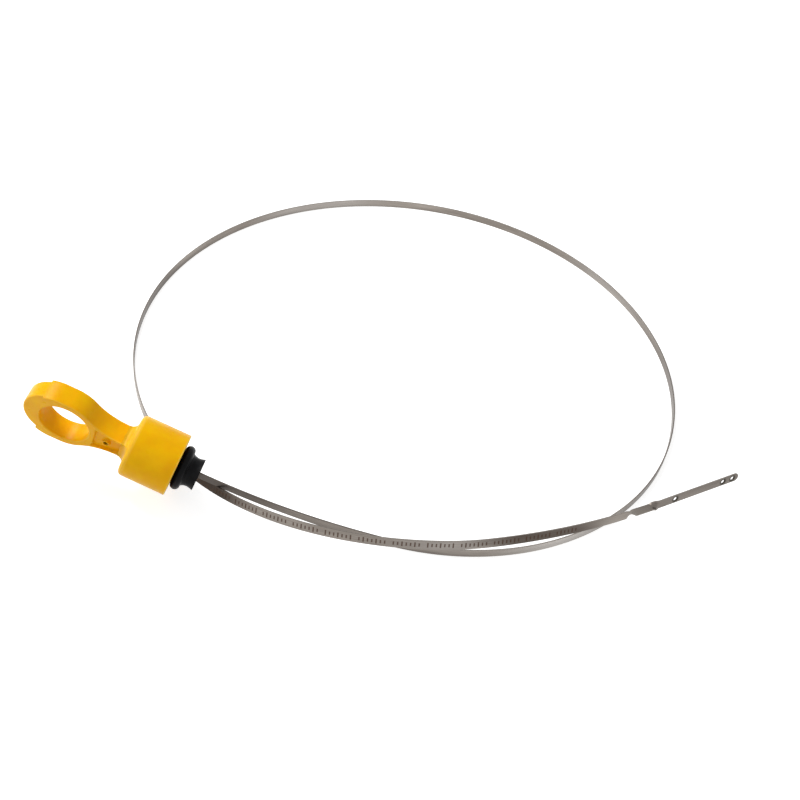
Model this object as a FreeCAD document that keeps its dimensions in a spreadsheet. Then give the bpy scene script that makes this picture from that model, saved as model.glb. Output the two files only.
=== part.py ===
"""Transmission dipstick, coiled as it is packed and lying on a table.

Three pieces that do not move on each other:
  handle  one plastic moulding: finger ring, neck, and the cup that covers the filler tube's mouth
  seal    rubber stopper on the stem inside the cup
  blade   one steel strip, held in the neck, coiled on edge, with two quarter twists and a flat tip

Millimetres and degrees. The handle and the seal are drawn about their own axis: local Z runs from the
cup's mouth to the ring, local X is square to the ring's flat side, and the strip's width is along local Y.
The coil is drawn about its own centre on the table, and everything is then moved together so that the
origin is under the middle of the whole part, with +Z up.
"""
import FreeCAD
import Part
import Sketcher
import math
import os

from FreeCAD import Vector

DIMENSIONS = (
    # Cup and stem
    ("cup_length", 22.0),
    ("cup_mouth_diameter", 28.1),
    ("cup_shoulder_diameter", 27.9),
    ("cup_wall", 1.6),
    ("cup_floor", 3.0),
    ("cup_shoulder_round", 2.0),
    ("stem_diameter", 9.0),
    ("stem_reach", 6.0),
    # Neck and finger ring, measured from the cup's shoulder
    ("neck_height", 10.2),
    ("collar_width", 16.2),
    ("collar_corner_cut", 1.8),
    ("collar_height", 3.6),
    ("collar_taper", 41.0),
    ("neck_flare_round", 26.0),
    ("ring_thickness", 10.2),
    ("ring_diameter", 28.9),
    ("ring_stretch", 4.3),
    ("finger_hole_diameter", 22.6),
    ("finger_hole_offset", 28.7),
    ("tip_step_length", 7.6),
    ("tip_step_depth", 1.0),
    ("edge_bevel", 0.6),
    # Shallow core pocket on each side of the neck, and the hole that locates the strip
    ("core_depth", 1.2),
    ("core_rim", 1.8),
    ("core_start", 1.6),
    ("core_end", 15.0),
    ("core_flare", 3.3),
    ("locating_boss_diameter", 3.4),
    ("locating_hole_diameter", 1.8),
    ("locating_hole_offset", 9.4),
    # Seal
    ("seal_reach", 9.9),
    ("seal_sleeve_diameter", 15.2),
    ("seal_floor_gap", 0.1),
    ("seal_bead_diameter", 20.2),
    ("seal_bead_section", 4.4),
    ("seal_bead_offset", 2.3),
    ("seal_waist_diameter", 12.6),
    ("seal_nose_diameter", 14.4),
    ("seal_waist_offset", 5.9),
    ("seal_stretch", 0.1),
    # Blade section and its place in the handle
    ("blade_width", 4.2),
    ("blade_thickness", 0.7),
    ("blade_clearance", 0.1),
    ("anchor_length", 14.0),
    ("handle_tilt", 16.8),
    ("handle_roll", 9.5),
    # Coil: ramp down to the table, lead bend, round coil, then the rising tail
    ("ramp_length", 88.4),
    ("lead_bend_radius", 117.0),
    ("lead_bend_angle", 78.5),
    ("coil_radius", 136.0),
    ("coil_start_angle", -17.0),
    ("coil_end_angle", 290.0),
    ("rise_start_angle", 204.0),
    ("rise_length", 182.0),
    ("rise_height", 17.2),
    ("lean_length", 75.0),
    ("tail_lean", 18.0),
    ("tail_radius", 308.0),
    ("tail_angle", 11.5),
    # Twists and tip
    ("tip_lean", 10.0),
    ("twist_length", 5.0),
    ("twist_gap", 12.0),
    ("twist_angle", 90.0),
    ("twist_bend_angle", 3.3),
    ("tip_length", 46.0),
    ("level_hole_diameter", 2.0),
    ("lower_hole_inset", 3.6),
    ("middle_hole_inset", 9.2),
    ("upper_hole_inset", 37.0),
)

UP = Vector(0, 0, 1)
STATION_SPACING = 8.0
TWIST_STATION_SPACING = 0.5
# Half a side of an octagon, as a share of the radius of the circle inside it
EIGHTH_TURN_SHARE = math.tan(math.pi / 8)


class Dim:
    """A size that carries both its number and the sheet expression that drives it."""

    def __init__(self, number, text):
        self.number = float(number)
        self.text = text

    @staticmethod
    def of(value):
        return value if isinstance(value, Dim) else Dim(value, repr(float(value)))

    def __add__(self, other):
        other = Dim.of(other)
        return Dim(self.number + other.number, f"({self.text} + {other.text})")

    def __sub__(self, other):
        other = Dim.of(other)
        return Dim(self.number - other.number, f"({self.text} - {other.text})")

    def __mul__(self, other):
        other = Dim.of(other)
        return Dim(self.number * other.number, f"({self.text} * {other.text})")

    def __truediv__(self, other):
        other = Dim.of(other)
        return Dim(self.number / other.number, f"({self.text} / {other.text})")

    def __neg__(self):
        return Dim(-self.number, f"(0 - {self.text})")


class Sizes:
    """The driving dimensions, one named cell each, read back from the sheet."""

    def __init__(self, doc):
        sheet = doc.addObject("Spreadsheet::Sheet", "Sizes")
        for row, (alias, number) in enumerate(DIMENSIONS, start=1):
            sheet.set(f"A{row}", alias.replace("_", " "))
            sheet.set(f"B{row}", str(number))
            sheet.setAlias(f"B{row}", alias)
        doc.recompute()
        for alias, _ in DIMENSIONS:
            setattr(self, alias, Dim(sheet.get(alias), f"Sizes.{alias}"))


ZERO = Dim(0, "0")


def bind(item, name, dim):
    """Sets a property from a size and keeps it driven by the sheet."""
    item.setExpression(name, dim.text)


def add_sketch(body, name, plane):
    """Makes a sketch on one of the body's own origin planes."""
    sketch = body.newObject("Sketcher::SketchObject", name)
    support = next(item for item in body.Origin.OriginFeatures if item.Role == plane)
    sketch.AttachmentSupport = [(support, "")]
    sketch.MapMode = "FlatFace"
    return sketch


def pin_point(sketch, line, end, across, upward):
    """Ties a line's end or a circle's centre to the sketch's origin by two driven distances."""
    for kind, dim, axis in (("DistanceX", across, -2), ("DistanceY", upward, -1)):
        if dim is ZERO:
            sketch.addConstraint(Sketcher.Constraint("PointOnObject", line, end, axis))
            continue
        index = sketch.addConstraint(Sketcher.Constraint(kind, -1, 1, line, end, dim.number))
        sketch.setExpression(f"Constraints[{index}]", dim.text)


def draw_polygon(sketch, corners):
    """Draws a closed outline through corners, each a pair of sizes."""
    points = [Vector(across.number, upward.number, 0) for across, upward in corners]
    for start, end in zip(points, points[1:] + points[:1]):
        sketch.addGeometry(Part.LineSegment(start, end), False)
    count = len(points)
    for line in range(count):
        sketch.addConstraint(Sketcher.Constraint("Coincident", line, 2, (line + 1) % count, 1))
    for line, (across, upward) in enumerate(corners):
        pin_point(sketch, line, 1, across, upward)


def draw_circle(sketch, across, upward, diameter):
    """Draws one circle with a driven centre and diameter."""
    centre = Vector(across.number, upward.number, 0)
    circle = sketch.addGeometry(Part.Circle(centre, Vector(0, 0, 1), diameter.number / 2), False)
    pin_point(sketch, circle, 3, across, upward)
    index = sketch.addConstraint(Sketcher.Constraint("Diameter", circle, diameter.number))
    sketch.setExpression(f"Constraints[{index}]", diameter.text)


def revolve(body, name, sketch):
    """Turns a half-section about local Z."""
    turned = body.newObject("PartDesign::Revolution", name)
    turned.Profile = sketch
    turned.ReferenceAxis = (sketch, ["V_Axis"])
    turned.Angle = 360
    return turned


def extrude(body, kind, name, sketch, length):
    """Pads or pockets a sketch evenly to both sides of its plane."""
    feature = body.newObject(f"PartDesign::{kind}", name)
    feature.Profile = sketch
    feature.SideType = "Symmetric"
    bind(feature, "Length", length)
    return feature


def cut_both_faces(body, name, corners, thickness, depth, island=None):
    """Lowers both flat faces of a slab inside an outline, by one depth, round a round island if there is one."""
    for side, place in (("front", thickness / 2 - depth), ("back", depth - thickness / 2)):
        sketch = add_sketch(body, f"{name}_{side}_sketch", "YZ_Plane")
        bind(sketch, "AttachmentOffset.Base.z", place)
        draw_polygon(sketch, corners)
        if island:
            draw_circle(sketch, *island)
        pocket = body.newObject("PartDesign::Pocket", f"{name}_{side}")
        pocket.Profile = sketch
        pocket.Reversed = side == "front"
        bind(pocket, "Length", thickness)


def ease_edges(doc, body, kind, name, amount, chosen):
    """Fillets or chamfers the edges of the body's shape so far that the test picks out."""
    doc.recompute()
    base = body.Tip
    names = [f"Edge{i}" for i, edge in enumerate(base.Shape.Edges, start=1) if chosen(edge)]
    eased_edges = body.newObject(f"PartDesign::{kind}", name)
    eased_edges.Base = (base, names)
    bind(eased_edges, "Radius" if kind == "Fillet" else "Size", amount)
    doc.recompute()


def blade_slot(body, name, size, low, high):
    """Cuts the strip's slot along local Z, from low to high, with its clearance all round."""
    half_thick = size.blade_thickness / 2 + size.blade_clearance
    half_wide = size.blade_width / 2 + size.blade_clearance
    sketch = add_sketch(body, f"{name}_sketch", "YZ_Plane")
    draw_polygon(sketch, [(-half_wide, low), (half_wide, low), (half_wide, high), (-half_wide, high)])
    extrude(body, "Pocket", name, sketch, half_thick * 2)


def make_handle(doc, size):
    """The moulding: a revolved cup with its stem, then the padded neck and ring, then the cuts."""
    body = doc.addObject("PartDesign::Body", "handle")

    mouth_radius = size.cup_mouth_diameter / 2
    shoulder_radius = size.cup_shoulder_diameter / 2
    stem_radius = size.stem_diameter / 2
    floor_height = size.cup_length - size.cup_floor
    cup = add_sketch(body, "cup_sketch", "XZ_Plane")
    draw_polygon(cup, [
        (ZERO, -size.stem_reach),
        (stem_radius, -size.stem_reach),
        (stem_radius, floor_height),
        (shoulder_radius - size.cup_wall, floor_height),
        (shoulder_radius - size.cup_wall, ZERO),
        (mouth_radius, ZERO),
        (shoulder_radius, size.cup_length),
        (ZERO, size.cup_length),
    ])
    revolve(body, "cup", cup)
    top = size.cup_length.number
    ease_edges(doc, body, "Fillet", "cup_shoulder", size.cup_shoulder_round,
               lambda edge: abs(edge.BoundBox.ZMin - top) < 1e-4 and edge.BoundBox.ZLength < 1e-4)

    hole_height = size.cup_length + size.finger_hole_offset
    far_height = hole_height + size.ring_stretch
    ring_radius = size.ring_diameter / 2
    half_neck = size.neck_height / 2
    neck_foot = size.cup_length - size.cup_floor / 2
    for name, half_wide, low, high in (("neck", half_neck, neck_foot, hole_height),
                                       ("ring_sides", ring_radius, hole_height, far_height)):
        sketch = add_sketch(body, f"{name}_sketch", "YZ_Plane")
        draw_polygon(sketch, [(-half_wide, low), (half_wide, low), (half_wide, high), (-half_wide, high)])
        extrude(body, "Pad", name, sketch, size.ring_thickness)
    for name, height in (("ring_near", hole_height), ("ring_far", far_height)):
        sketch = add_sketch(body, f"{name}_sketch", "YZ_Plane")
        draw_circle(sketch, ZERO, height, size.ring_diameter)
        extrude(body, "Pad", name, sketch, size.ring_thickness)

    def in_the_crook(edge):
        box = edge.BoundBox
        beside = abs(abs(box.YMin) - half_neck.number) < 1e-4
        across = box.YLength < 1e-4 and box.ZLength < 1e-4
        return beside and across and top + 1 < box.ZMin < hole_height.number

    ease_edges(doc, body, "Fillet", "neck_flare", size.neck_flare_round, in_the_crook)

    hole = add_sketch(body, "finger_hole_sketch", "YZ_Plane")
    draw_circle(hole, ZERO, hole_height, size.finger_hole_diameter)
    extrude(body, "Pocket", "finger_hole", hole, size.ring_thickness * 2)

    def on_a_flat_face(edge):
        box = edge.BoundBox
        flat = box.XLength < 1e-4 and abs(abs(box.XMin) - size.ring_thickness.number / 2) < 1e-4
        return flat and box.ZMax > top + 1e-3

    ease_edges(doc, body, "Chamfer", "hole_edges", size.edge_bevel,
               lambda edge: on_a_flat_face(edge) and edge.isClosed())
    ease_edges(doc, body, "Chamfer", "outline_edges", size.edge_bevel,
               lambda edge: on_a_flat_face(edge) and not edge.isClosed())

    step_low = far_height + ring_radius - size.tip_step_length
    step_high = far_height + ring_radius * 2
    cut_both_faces(body, "tip_step",
                   [(-ring_radius, step_low), (ring_radius, step_low),
                    (ring_radius, step_high), (-ring_radius, step_high)],
                   size.ring_thickness, size.tip_step_depth)

    core_low = size.cup_length + size.core_start
    core_high = size.cup_length + size.core_end
    half_core = half_neck - size.core_rim
    half_flared = half_core + size.core_flare
    cut_both_faces(body, "core",
                   [(-half_core, core_low), (half_core, core_low),
                    (half_flared, core_high), (-half_flared, core_high)],
                   size.ring_thickness, size.core_depth,
                   island=(ZERO, size.cup_length + size.locating_hole_offset, size.locating_boss_diameter))

    side = size.collar_width / 2
    corner = side - size.collar_corner_cut
    sketch = add_sketch(body, "collar_sketch", "XY_Plane")
    bind(sketch, "AttachmentOffset.Base.z", size.cup_length)
    draw_polygon(sketch, [(side, -corner), (side, corner), (corner, side), (-corner, side),
                          (-side, corner), (-side, -corner), (-corner, -side), (corner, -side)])
    collar = body.newObject("PartDesign::Pad", "collar")
    collar.Profile = sketch
    bind(collar, "Length", size.collar_height)
    bind(collar, "TaperAngle", -size.collar_taper)

    blade_slot(body, "blade_slot", size, -size.stem_reach * 2, size.cup_length + size.anchor_length)
    locating = add_sketch(body, "locating_hole_sketch", "YZ_Plane")
    draw_circle(locating, ZERO, size.cup_length + size.locating_hole_offset, size.locating_hole_diameter)
    extrude(body, "Pocket", "locating_hole", locating, size.ring_thickness * 2)
    return body


def make_seal(doc, size):
    """The stopper: a nose that flares to its sharp end, a bevelled bead, and a sleeve over the stem behind it."""
    body = doc.addObject("PartDesign::Body", "seal")
    bore = size.stem_diameter / 2 + size.seal_stretch
    sleeve = size.seal_sleeve_diameter / 2
    root = size.cup_length - size.cup_floor - size.seal_floor_gap
    stem_end = size.stem_reach + size.seal_stretch
    bead_outside = size.seal_bead_diameter / 2
    bead_half = size.seal_bead_section / 2
    land_half = bead_half * EIGHTH_TURN_SHARE
    bevel_foot = bead_outside - bead_half + land_half
    sketch = add_sketch(body, "stopper_sketch", "XZ_Plane")
    draw_polygon(sketch, [
        (ZERO, -size.seal_reach),
        (size.seal_nose_diameter / 2, -size.seal_reach),
        (size.seal_waist_diameter / 2, -size.seal_waist_offset),
        (bevel_foot, -size.seal_bead_offset - bead_half),
        (bead_outside, -size.seal_bead_offset - land_half),
        (bead_outside, -size.seal_bead_offset + land_half),
        (bevel_foot, -size.seal_bead_offset + bead_half),
        (sleeve, -size.seal_bead_offset + bead_half),
        (sleeve, root),
        (bore, root),
        (bore, -stem_end),
        (ZERO, -stem_end),
    ])
    revolve(body, "stopper", sketch)
    blade_slot(body, "blade_slit", size, -size.seal_reach * 2, ZERO)
    return body


class Run:
    """A stretch of the strip's plan: a straight run or an arc, entered at a point with a heading."""

    def __init__(self, start, heading, length, radius=None):
        self.start = start
        self.heading = heading
        self.length = length
        self.radius = radius

    def heading_at(self, distance):
        return self.heading if self.radius is None else self.heading + distance / self.radius

    def at(self, distance):
        if self.radius is None:
            return self.start + Vector(math.cos(self.heading), math.sin(self.heading), 0) * distance
        now = self.heading_at(distance)
        return self.start + Vector(
            self.radius * (math.sin(now) - math.sin(self.heading)),
            self.radius * (math.cos(self.heading) - math.cos(now)),
            0,
        )

    def end(self):
        return self.at(self.length)

    def end_heading(self):
        return self.heading_at(self.length)


class Section:
    """One cross-section of the strip. Lean 0 stands it on edge, and a positive lean tips it inwards."""

    def __init__(self, centre, travel, lean, size):
        outward = travel.cross(UP).normalize()
        upright = outward.cross(travel)
        self.centre = centre
        self.travel = travel
        self.face = outward * math.cos(lean) + upright * math.sin(lean)
        self.width = upright * math.cos(lean) - outward * math.sin(lean)
        half_face = self.face * (size.blade_thickness.number / 2)
        half_width = self.width * (size.blade_width.number / 2)
        self.corners = (
            centre + half_face + half_width,
            centre + half_face - half_width,
            centre - half_face - half_width,
            centre - half_face + half_width,
        )


def eased(share):
    """A smooth step from 0 to 1 that starts and ends level."""
    share = min(max(share, 0.0), 1.0)
    return share * share * (3.0 - 2.0 * share)


def eased_slope(share):
    """How fast that smooth step climbs."""
    return 6.0 * share * (1.0 - share) if 0.0 < share < 1.0 else 0.0


def travel_along(heading, slope):
    """The direction of travel for a plan heading and a climb per unit of plan length."""
    return Vector(math.cos(heading), math.sin(heading), slope).normalize()


def side_faces(edges):
    """The four long faces between the strip's corner lines, all of which run the same way."""
    same_way = 1
    return [Part.makeRuledSurface(edge, after, same_way) for edge, after in zip(edges, edges[1:] + edges[:1])]


def curved_faces(sections):
    """Long faces of a stretch whose corner lines are smooth curves through its sections' corners."""
    edges = []
    for corner in range(4):
        curve = Part.BSplineCurve()
        curve.interpolate([section.corners[corner] for section in sections])
        edges.append(curve.toShape())
    return side_faces(edges)


def arc_faces(first, middle, last):
    """Long faces of a stretch that lies flat on the table as a round bend."""
    edges = [Part.Arc(*points).toShape() for points in zip(first.corners, middle.corners, last.corners)]
    return side_faces(edges)


def plate_faces(joint, length, round_end, holes, size):
    """Faces of a flat end of the strip: straight from its joint, square or round ended, with holes.

    joint is the section where the plate meets the rest, length is signed along its travel, and holes are
    pairs of a distance from the joint and a diameter. The face at the joint is left open.
    """
    half = joint.width * (size.blade_width.number / 2)
    back = joint.centre - joint.face * (size.blade_thickness.number / 2)
    reach = joint.travel * length
    outward = joint.travel if length > 0 else -joint.travel
    if round_end:
        shoulder = back + reach - outward * (size.blade_width.number / 2)
        cap = Part.Arc(shoulder + half, back + reach, shoulder - half).toShape()
    else:
        shoulder = back + reach
        cap = Part.LineSegment(shoulder + half, shoulder - half).toShape()
    outline = Part.Wire([
        Part.LineSegment(back - half, back + half).toShape(),
        Part.LineSegment(back + half, shoulder + half).toShape(),
        cap,
        Part.LineSegment(shoulder - half, back - half).toShape(),
    ])
    rims = [
        Part.Wire(Part.Circle(back + outward * distance, joint.face, diameter / 2).toShape())
        for distance, diameter in holes
    ]
    flat = Part.makeFace([outline] + rims, "Part::FaceMakerBullseye")
    plate = flat.extrude(joint.face * size.blade_thickness.number)
    return [face for face in plate.Faces if (face.CenterOfMass - joint.centre).Length > 1e-6]


class Route:
    """The strip's path: ramp, lead bend, coil, tail, twists and tip, each tangent to the last."""

    def __init__(self, size):
        radius = size.coil_radius.number
        bend = size.lead_bend_radius.number
        turn = math.radians(size.lead_bend_angle.number)
        first = math.radians(size.coil_start_angle.number)
        rise = math.radians(size.rise_start_angle.number)
        last = math.radians(size.coil_end_angle.number)
        tail_turn = math.radians(size.tail_angle.number)
        twist_turn = math.radians(size.twist_bend_angle.number)
        twisted = size.twist_length.number * 2 + size.twist_gap.number

        bend_centre = Vector(math.cos(first), math.sin(first), 0) * (radius - bend)
        bend_from = first - turn
        bend_start = bend_centre + Vector(math.cos(bend_from), math.sin(bend_from), 0) * bend
        ramp_heading = bend_from + math.pi / 2
        ahead = Vector(math.cos(ramp_heading), math.sin(ramp_heading), 0)
        ramp_length = size.ramp_length.number

        self.ramp = Run(bend_start - ahead * ramp_length, ramp_heading, ramp_length)
        self.lead = Run(bend_start, ramp_heading, bend * turn, bend)
        self.coil = Run(self.lead.end(), self.lead.end_heading(), radius * (rise - first), radius)
        self.riser = Run(self.coil.end(), self.coil.end_heading(), radius * (last - rise), radius)
        self.tail = Run(self.riser.end(), self.riser.end_heading(),
                        size.tail_radius.number * tail_turn, size.tail_radius.number)
        self.twists = Run(self.tail.end(), self.tail.end_heading(), twisted, twisted / twist_turn)
        self.size = size
        self.table = size.blade_width.number / 2

    def on_ramp(self, distance):
        """Slopes as the handle does at the seal, and flattens evenly to the table."""
        size = self.size
        left = self.ramp.length - distance
        steep = math.tan(math.radians(size.handle_tilt.number))
        height = self.table + steep * left * left / (2 * self.ramp.length)
        slope = -steep * left / self.ramp.length
        lean = -math.radians(size.handle_roll.number) * (1 - eased(distance / self.ramp.length))
        centre = self.ramp.at(distance) + UP * height
        return Section(centre, travel_along(self.ramp.heading, slope), lean, size)

    def on_table(self, run, distance):
        """Stands on edge on the table."""
        centre = run.at(distance) + UP * self.table
        return Section(centre, travel_along(run.heading_at(distance), 0), 0, self.size)

    def on_riser(self, distance):
        """Lifts off the table and tips inwards."""
        size = self.size
        share = distance / size.rise_length.number
        height = self.table + size.rise_height.number * eased(share)
        slope = size.rise_height.number * eased_slope(share) / size.rise_length.number
        lean = math.radians(size.tail_lean.number) * eased(distance / size.lean_length.number)
        centre = self.riser.at(distance) + UP * height
        return Section(centre, travel_along(self.riser.heading_at(distance), slope), lean, size)

    def level(self, run, distance, lean):
        """Runs level at the height the riser reached."""
        size = self.size
        reached = eased(self.riser.length / size.rise_length.number)
        centre = run.at(distance) + UP * (self.table + size.rise_height.number * reached)
        return Section(centre, travel_along(run.heading_at(distance), 0), lean, size)

    def on_tail(self, distance):
        """Straightens and stands up a little towards the twists."""
        size = self.size
        lean = size.tail_lean.number + (size.tip_lean.number - size.tail_lean.number) * eased(
            distance / self.tail.length)
        return self.level(self.tail, distance, math.radians(lean))

    def on_twists(self, distance):
        """Turns a quarter over, runs flat, and turns back."""
        size = self.size
        there = eased(distance / size.twist_length.number)
        back = eased((distance - size.twist_length.number - size.twist_gap.number) / size.twist_length.number)
        lean = size.tip_lean.number + size.twist_angle.number * (there - back)
        return self.level(self.twists, distance, math.radians(lean))


def spread(place, start, end, spacing):
    """Sections at even steps of about one spacing, from start to end."""
    steps = max(4, round((end - start) / spacing))
    return [place(start + (end - start) * i / steps) for i in range(steps + 1)]


def make_blade(doc, size, route):
    """The strip as one sewn solid: its flat ends and the long faces of every stretch between them."""
    seal_end = route.on_ramp(0)
    tip_joint = route.on_twists(route.twists.length)
    buried = size.seal_reach.number + size.cup_length.number
    anchor_hole = (buried + size.locating_hole_offset.number, size.locating_hole_diameter.number)
    tip = size.tip_length.number
    level_holes = [
        (tip - inset.number, size.level_hole_diameter.number)
        for inset in (size.lower_hole_inset, size.middle_hole_inset, size.upper_hole_inset)
    ]
    first_twist_end = size.twist_length.number
    second_twist_start = first_twist_end + size.twist_gap.number

    faces = plate_faces(seal_end, -(buried + size.anchor_length.number), False, [anchor_hole], size)
    faces += curved_faces(spread(route.on_ramp, 0, route.ramp.length, STATION_SPACING))
    for run in (route.lead, route.coil):
        faces += arc_faces(*(route.on_table(run, run.length * share) for share in (0, 0.5, 1)))
    faces += curved_faces(spread(route.on_riser, 0, route.riser.length, STATION_SPACING))
    faces += curved_faces(spread(route.on_tail, 0, route.tail.length, STATION_SPACING))
    faces += curved_faces(spread(route.on_twists, 0, first_twist_end, TWIST_STATION_SPACING))
    faces += curved_faces(spread(route.on_twists, first_twist_end, second_twist_start, STATION_SPACING))
    faces += curved_faces(spread(route.on_twists, second_twist_start, route.twists.length,
                                 TWIST_STATION_SPACING))
    faces += plate_faces(tip_joint, tip, True, level_holes, size)

    shell = Part.makeShell(faces)
    shell.sewShape()
    solid = Part.makeSolid(shell)
    if solid.Volume < 0:
        solid.reverse()
    blade = doc.addObject("Part::Feature", "blade")
    blade.Shape = solid
    return blade


def handle_placement(size, route):
    """Puts the handle's frame on the strip where it leaves the seal: X square to the flat, Z up the axis."""
    joint = route.on_ramp(0)
    along = -joint.travel
    mouth = joint.centre + along * size.seal_reach.number
    x, y, z = joint.face, joint.width, along
    return FreeCAD.Placement(FreeCAD.Matrix(
        x.x, y.x, z.x, mouth.x,
        x.y, y.y, z.y, mouth.y,
        x.z, y.z, z.z, mouth.z,
        0, 0, 0, 1,
    ))


def check(doc, pieces):
    """Stops if any feature failed or any piece is not one sound solid."""
    for item in doc.Objects:
        if "Invalid" in item.State or "Error" in item.State:
            raise RuntimeError(f"{item.Name} failed: {item.State}")
    for piece in pieces:
        shape = piece.Shape
        if shape.isNull() or not shape.isValid() or len(shape.Solids) != 1:
            raise RuntimeError(f"{piece.Label} is not one valid solid")


def main():
    doc = FreeCAD.newDocument("transmission_dipstick")
    size = Sizes(doc)
    route = Route(size)
    handle = make_handle(doc, size)
    seal = make_seal(doc, size)
    blade = make_blade(doc, size, route)
    pieces = (handle, seal, blade)
    doc.recompute()
    for piece in (handle, seal):
        piece.Placement = handle_placement(size, route)
    doc.recompute()

    whole = Part.makeCompound([piece.Shape for piece in pieces]).optimalBoundingBox(False, False)
    shift = Vector(-(whole.XMin + whole.XMax) / 2, -(whole.YMin + whole.YMax) / 2, -whole.ZMin)
    for piece in pieces:
        piece.Placement = FreeCAD.Placement(shift, FreeCAD.Rotation()).multiply(piece.Placement)
    doc.recompute()
    check(doc, pieces)

    os.makedirs("parts", exist_ok=True)
    for piece in pieces:
        piece.Shape.exportStep(f"parts/{piece.Label}.step")
        print(f"{piece.Label}: {piece.Shape.Volume:.1f} mm3")
    print("coil centre and table in the part's frame:", shift)


main()
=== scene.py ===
"""Dresses the coiled transmission dipstick: yellow handle, rubber stopper and brushed steel strip."""
import math
from functools import cache

import bpy
import numpy as np
from mathutils import Matrix, Vector


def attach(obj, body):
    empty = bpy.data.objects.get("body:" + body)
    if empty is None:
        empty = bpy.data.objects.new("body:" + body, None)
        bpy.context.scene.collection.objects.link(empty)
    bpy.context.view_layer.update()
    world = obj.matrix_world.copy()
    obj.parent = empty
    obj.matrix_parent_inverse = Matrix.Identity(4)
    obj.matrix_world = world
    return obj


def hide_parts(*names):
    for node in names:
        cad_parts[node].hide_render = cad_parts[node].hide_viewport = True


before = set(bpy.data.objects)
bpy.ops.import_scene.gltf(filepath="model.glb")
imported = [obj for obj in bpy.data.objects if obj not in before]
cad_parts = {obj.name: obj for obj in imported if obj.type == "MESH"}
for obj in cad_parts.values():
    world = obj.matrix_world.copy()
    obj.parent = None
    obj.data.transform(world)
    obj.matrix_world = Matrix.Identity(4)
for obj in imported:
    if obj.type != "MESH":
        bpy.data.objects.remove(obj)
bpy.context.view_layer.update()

MM = 0.001
UP = np.array([0.0, 0.0, 1.0])

# Least divisor and least difference in length, and the cell in metres in which points are welded
TINY = 1e-9
WELD = 1e-6

# Where the coil's centre stands in the part's frame, in millimetres
COIL_CENTRE = np.array([-0.36698, 0.31593, 0.0])

# Strip, in millimetres and degrees
STRIP_WIDTH, STRIP_THICKNESS = 4.2, 0.7
STRIP_EDGE_ROUND, STRIP_EDGE_ANGLE = 0.12, 50.0
ANCHOR = 45.9
HANDLE_TILT, HANDLE_ROLL = 16.8, 9.5
RAMP = 88.4
LEAD_RADIUS, LEAD_TURN = 117.0, 78.5
COIL_RADIUS = 136.0
COIL_FROM, RISE_FROM, COIL_TO = -17.0, 204.0, 290.0
RISE_LENGTH, RISE_HEIGHT = 182.0, 17.2
LEAN_LENGTH, TAIL_LEAN, TIP_LEAN = 75.0, 18.0, 10.0
TAIL_RADIUS, TAIL_TURN = 308.0, 11.5
TWIST_LENGTH, TWIST_ANGLE, TWIST_TURN = 5.0, 90.0, 3.3
TWIST_STARTS = (3.7, 17.0)
TIP = 46.0
LEVEL_HOLE_RADIUS = 1.0
LEVEL_HOLE_INSETS = (3.6, 9.2, 37.0)

# Grid of the strip: widest gap between stations in millimetres, and counts of stations, rays and rings
STATION_GAP, TWIST_GAP = 2.0, 0.4
ANCHOR_STATIONS = 12
HOLE_RAYS, HOLE_RINGS = 64, 4

# Etched scale, in millimetres: pitch, share of the pitch that is filled and half the height of a stroke,
# then where the scale starts and ends, its ease there, and its strength
SHORT_PITCH, SHORT_SHARE, SHORT_HALF = 1.8, 0.34, 0.8
TALL_PITCH, TALL_SHARE, TALL_HALF = 5.4, 0.115, 1.15
GROUP_PITCH, GROUP_SHARE = 14.4, 0.8
SCALE_FROM, SCALE_TO, SCALE_EASE, SCALE_STRENGTH = 852.0, 1018.0, 0.5, 0.8

# Stretches of the strip under painted shade and dark reflections, or under painted highlights and bright
# reflections: start and end, in millimetres from the stopper's nose, and strength.  The outer face has
# the scale.  Each stretch eases in and out.
LOOP_SHADE = ((215.0, 335.0, 0.3), (675.0, 757.0, 0.45))
END_SHADE = ((-100.0, 36.0, 0.6), (-100.0, 80.0, 0.15), (1055.0, 1200.0, 0.3))
OUTER_SHADE = (*LOOP_SHADE, *END_SHADE, (800.0, 866.0, 0.92), (980.0, 1028.0, 0.75))
INNER_SHADE = (*LOOP_SHADE, *END_SHADE)
EDGE_SHADE = (*LOOP_SHADE, (-100.0, 100.0, 0.65), (850.0, 930.0, 0.5))
OUTER_SHINE = ((145.0, 188.0, 0.4), (945.0, 972.0, 0.15))
INNER_SHINE = ((355.0, 412.0, 0.17), (540.0, 605.0, 0.19), (755.0, 830.0, 0.4))
SHADE_EASE, SHINE_EASE = 12.0, 20.0

# Painted shade round a level hole: distances from its middle, in millimetres, over which it fades, and
# strength.
# The walls of the holes, painted in shade, are the sheared edge within such distances of the strip's
# middle line.
SHADE_RING_FULL, SHADE_RING_END, SHADE_RING_STRENGTH = 1.4, 2.1, 0.95
WALL_SHADE_FULL, WALL_SHADE_END, WALL_SHADE_STRENGTH = 1.2, 1.8, 0.9

# Handle, in millimetres and degrees, in its own frame: Z runs from the cup's mouth to the ring's far end
CUP_LENGTH = 22.0
CUP_MOUTH_RADIUS, CUP_SHOULDER_RADIUS = 14.05, 13.95
CUP_BORE_RADIUS = 12.35
CUP_FLOOR = 3.0
CUP_SHOULDER_ROUND, CUP_RIM_ROUND, CUP_ROOT_ROUND = 2.0, 0.3, 0.8
STEM_RADIUS, STEM_REACH = 4.5, 6.0
HALF_NECK = 5.1
NECK_TURN = 16.5
COLLAR_ROUND, COLLAR_SUNK = 3.2, 0.6
FLARE_ROUND = 26.0
RING_RADIUS, RING_HALF_THICK = 14.45, 5.1
RING_STRETCH = 4.3
RING_EDGE_ROUND = 0.7
HOLE_RADIUS, HOLE_HEIGHT = 11.3, 50.7
STEP_HEIGHT, STEP_DEPTH = 61.85, 1.0
SLANT_TURN = 99.0
POCKET_LOW, POCKET_HIGH = 23.6, 37.0
POCKET_HALF_LOW, POCKET_HALF_HIGH = 3.3, 6.6
POCKET_DEPTH, POCKET_EASE = 1.2, 0.25
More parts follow.
